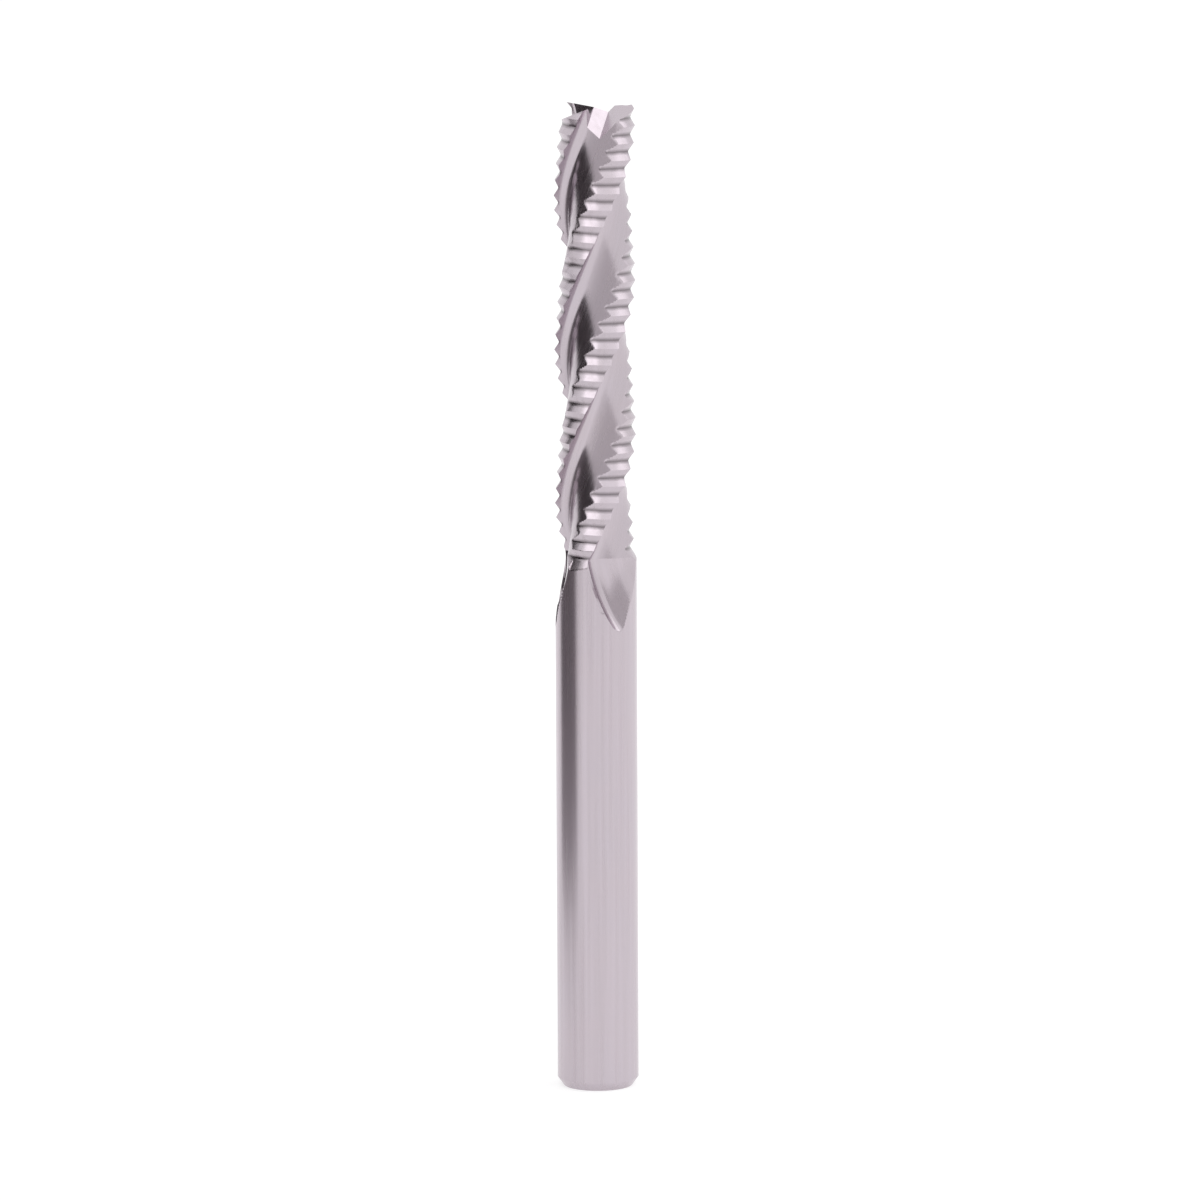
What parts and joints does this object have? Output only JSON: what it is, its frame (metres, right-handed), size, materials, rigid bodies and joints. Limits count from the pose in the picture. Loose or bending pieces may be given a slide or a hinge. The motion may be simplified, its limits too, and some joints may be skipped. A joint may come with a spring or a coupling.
{
  "type": "spiral router bit",
  "caption": "Solid carbide spiral router bit with a plain cylindrical shank and right-hand flutes whose lands are cut across by staggered chip-breaker grooves.",
  "frame": {"origin": "centre of the flat face at the shank end", "axes": "+Z along the tool's axis from the shank end to the cutting end; about Z, one cutting edge meets the cutting end 14 degrees counter-clockwise of +X"},
  "size_m": [0.008, 0.008, 0.0974],
  "materials": {
    "ground_carbide": "ground"
  },
  "bodies": {
    "root": {"router_bit": "ground_carbide"}
  },
  "joints": []
}
